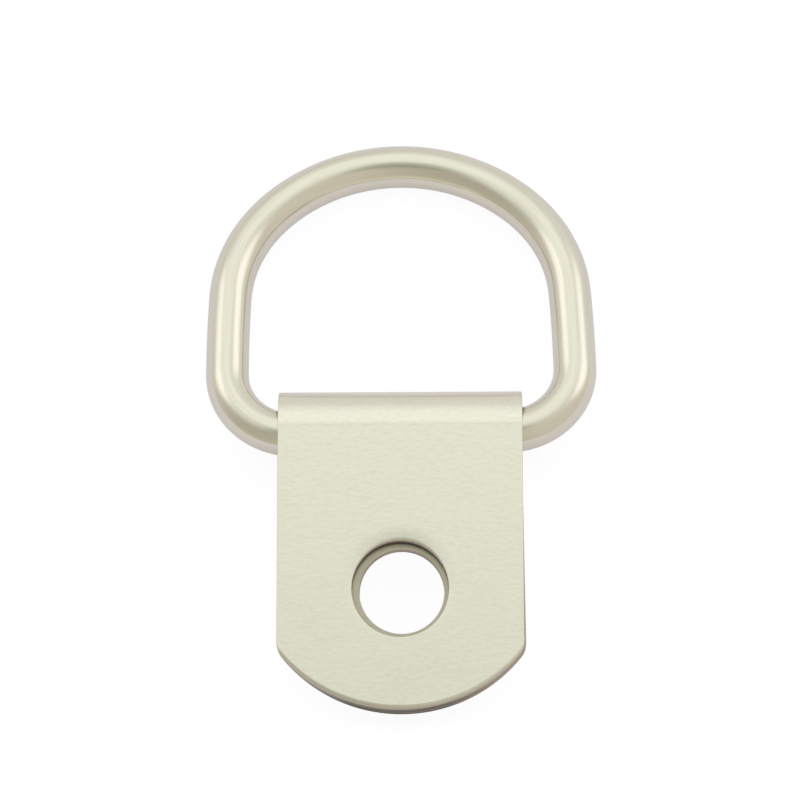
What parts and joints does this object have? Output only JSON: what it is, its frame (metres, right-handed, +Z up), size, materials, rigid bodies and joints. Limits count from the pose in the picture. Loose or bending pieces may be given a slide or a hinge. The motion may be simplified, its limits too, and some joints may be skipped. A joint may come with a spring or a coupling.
{
  "type": "d ring with clip",
  "caption": "D-shaped ring of round wire, hinged in the rolled eye of a folded sheet-metal clip with a rivet hole, for joining a strap, lace or hook to leather or cloth.",
  "frame": {"origin": "on the surface that the part lies on, under the middle of its bounding box", "axes": "+X along the ring's bar, to the right of the picture; +Y from the rivet hole to the bow; +Z up, out of the clip's flat face"},
  "size_m": [0.0206, 0.0324, 0.0043],
  "materials": {
    "satin_nickel_sheet": "satin nickel plate on stamped sheet steel",
    "satin_nickel_wire": "satin nickel plate on drawn steel wire"
  },
  "bodies": {
    "clip": {"clip": "satin_nickel_sheet"},
    "ring": {"d_ring": "satin_nickel_wire"}
  },
  "joints": [
    {"name": "ring_swing", "type": "hinge", "parent": "clip", "child": "ring", "pos_m": [-0.00001, -0.0011, 0.00215], "axis": [1, 0, 0], "range_deg": [-168, 180]}
  ]
}
